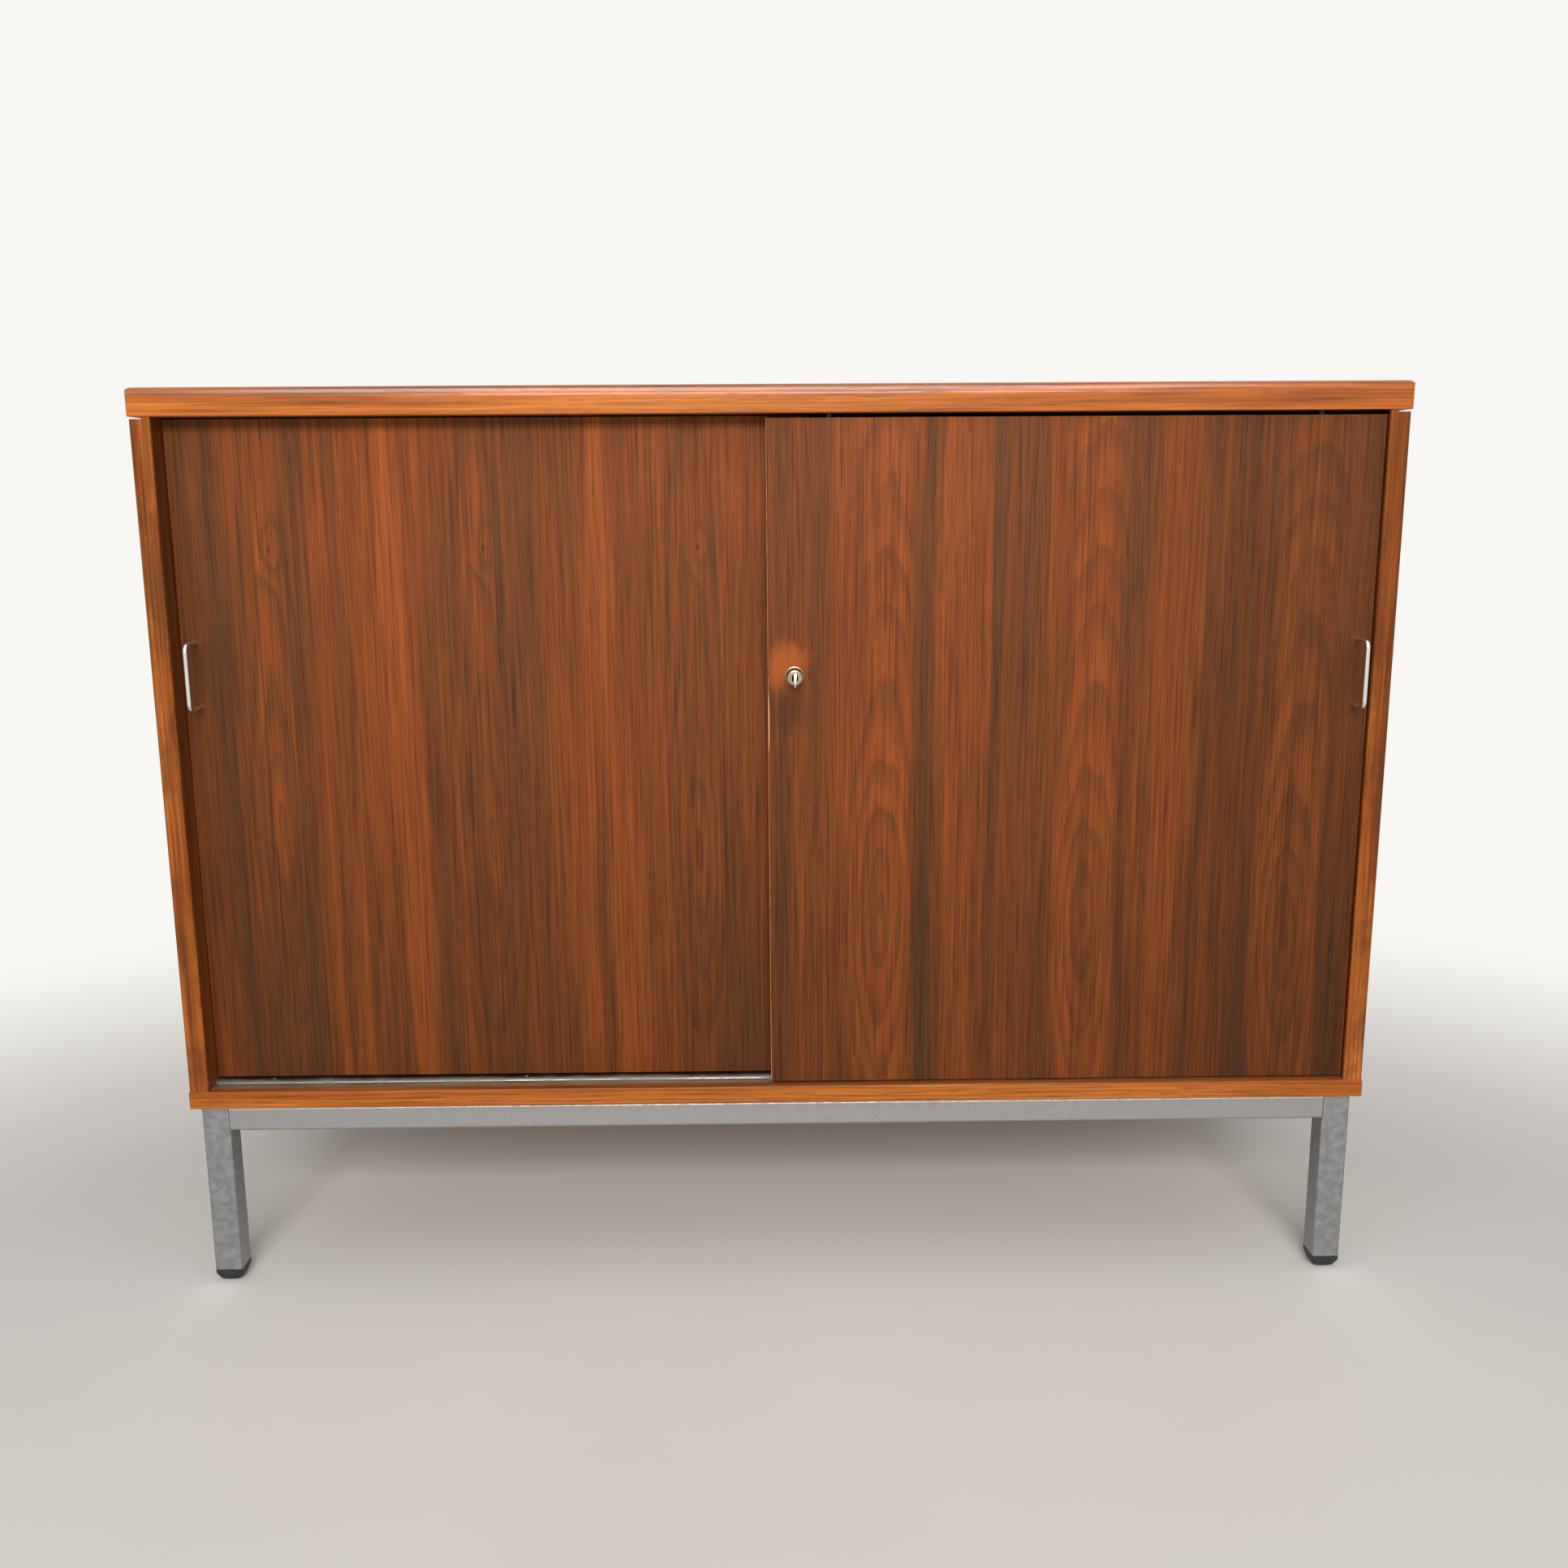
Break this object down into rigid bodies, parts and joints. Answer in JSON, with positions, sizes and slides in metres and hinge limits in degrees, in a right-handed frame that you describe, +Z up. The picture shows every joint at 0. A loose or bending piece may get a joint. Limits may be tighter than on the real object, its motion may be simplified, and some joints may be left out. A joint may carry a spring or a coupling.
{
  "type": "sliding door cabinet",
  "caption": "Low office cabinet with sliding veneered doors, bow pulls, a push lock with key, shelves beside a partition and a square-tube steel base.",
  "frame": {"origin": "on the floor, in the middle of the width and of the whole depth with the key in its lock", "axes": "+X to the right along the front, +Y to the back, +Z up"},
  "size_m": [1.204, 0.4738, 0.908],
  "materials": {
    "walnut_veneer": "satin oiled walnut veneer",
    "walnut_lipping": "satin oiled solid wood",
    "inner_veneer": "matt inner veneer",
    "back_board": "matt hardboard",
    "dowel_beech": "plain beech",
    "frame_steel": "mottled satin galvanised tube",
    "track_aluminium": "drawn satin",
    "pull_chrome": "polished",
    "lock_nickel": "worn nickel plate",
    "key_nickel": "worn nickel plate",
    "zinc_steel": "zinc plated",
    "black_plastic": "moulded black",
    "guide_plastic": "extruded dark brown",
    "roller_nylon": "moulded dark nylon"
  },
  "bodies": {
    "cabinet": {"top_panel": "walnut_veneer", "top_front_lipping": "walnut_lipping", "top_left_lipping": "walnut_lipping", "top_right_lipping": "walnut_lipping", "left_side_panel": "walnut_veneer", "right_side_panel": "walnut_veneer", "left_side_lipping": "walnut_lipping", "right_side_lipping": "walnut_lipping", "bottom_panel": "inner_veneer", "bottom_front_lipping": "walnut_lipping", "back_panel": "back_board", "back_panel_screws": "zinc_steel", "centre_partition": "inner_veneer", "partition_lipping": "walnut_lipping", "left_shelf": "inner_veneer", "right_shelf": "inner_veneer", "left_shelf_lipping": "walnut_lipping", "right_shelf_lipping": "walnut_lipping", "shelf_pins": "zinc_steel", "carcass_dowels": "dowel_beech", "top_door_guide": "guide_plastic", "bottom_door_track": "track_aluminium", "track_screws": "zinc_steel", "front_left_leg": "frame_steel", "front_right_leg": "frame_steel", "rear_left_leg": "frame_steel", "rear_right_leg": "frame_steel", "front_rail": "frame_steel", "rear_rail": "frame_steel", "left_rail": "frame_steel", "right_rail": "frame_steel", "frame_screws": "zinc_steel", "foot_glides": "black_plastic"},
    "front_door": {"front_door_panel": "walnut_veneer", "front_door_lippings": "walnut_lipping", "front_door_pull": "pull_chrome", "front_door_pull_nuts": "zinc_steel", "front_door_carriers": "roller_nylon", "front_door_carrier_screws": "zinc_steel", "front_door_axles": "zinc_steel", "front_door_guide_pins": "guide_plastic", "lock_housing": "lock_nickel", "lock_spring": "zinc_steel"},
    "rear_door": {"rear_door_panel": "walnut_veneer", "rear_door_lippings": "walnut_lipping", "rear_door_pull": "pull_chrome", "rear_door_pull_nuts": "zinc_steel", "rear_door_carriers": "roller_nylon", "rear_door_carrier_screws": "zinc_steel", "rear_door_axles": "zinc_steel", "rear_door_guide_pins": "guide_plastic", "strike_bush": "lock_nickel"},
    "front_door_left_roller": {"front_door_left_roller": "roller_nylon"},
    "front_door_right_roller": {"front_door_right_roller": "roller_nylon"},
    "rear_door_left_roller": {"rear_door_left_roller": "roller_nylon"},
    "rear_door_right_roller": {"rear_door_right_roller": "roller_nylon"},
    "lock_plunger": {"lock_plunger": "lock_nickel"},
    "lock_plug": {"lock_plug": "lock_nickel"},
    "lock_key": {"lock_key": "key_nickel"}
  },
  "joints": [
    {"name": "front_door_slide", "type": "slide", "parent": "cabinet", "child": "front_door", "axis": [1, 0, 0], "range_m": [-0.555, 0]},
    {"name": "rear_door_slide", "type": "slide", "parent": "cabinet", "child": "rear_door", "axis": [1, 0, 0], "range_m": [0, 0.545]},
    {"name": "front_door_left_roller_spin", "type": "hinge", "parent": "front_door", "child": "front_door_left_roller", "pos_m": [0.063, -0.18575, 0.21875], "axis": [0, 1, 0], "range_deg": [-2765.6, 0]},
    {"name": "front_door_right_roller_spin", "type": "hinge", "parent": "front_door", "child": "front_door_right_roller", "pos_m": [0.51, -0.18575, 0.21875], "axis": [0, 1, 0], "range_deg": [-2765.6, 0]},
    {"name": "rear_door_left_roller_spin", "type": "hinge", "parent": "rear_door", "child": "rear_door_left_roller", "pos_m": [-0.51, -0.16475, 0.22175], "axis": [0, 1, 0], "range_deg": [0, 2715.8]},
    {"name": "rear_door_right_roller_spin", "type": "hinge", "parent": "rear_door", "child": "rear_door_right_roller", "pos_m": [-0.035, -0.16475, 0.22175], "axis": [0, 1, 0], "range_deg": [0, 2715.8]},
    {"name": "lock_push", "type": "slide", "parent": "front_door", "child": "lock_plunger", "axis": [0, 1, 0], "range_m": [0, 0.007], "stiffness_N_per_m": 120, "springref_m": -0.005, "deforming": ["lock_spring"]},
    {"name": "key_turn", "type": "hinge", "parent": "lock_plunger", "child": "lock_plug", "pos_m": [0.019, -0.19755, 0.633], "axis": [0, 1, 0], "range_deg": [0, 90]},
    {"name": "key_withdraw", "type": "slide", "parent": "lock_plug", "child": "lock_key", "axis": [0, 1, 0], "range_m": [-0.02, 0]}
  ],
  "couplings": [
    {"joint": "front_door_left_roller_spin", "follows": "front_door_slide", "rad_per_m": 86.957},
    {"joint": "front_door_right_roller_spin", "follows": "front_door_slide", "rad_per_m": 86.957},
    {"joint": "rear_door_left_roller_spin", "follows": "rear_door_slide", "rad_per_m": 86.957},
    {"joint": "rear_door_right_roller_spin", "follows": "rear_door_slide", "rad_per_m": 86.957}
  ]
}
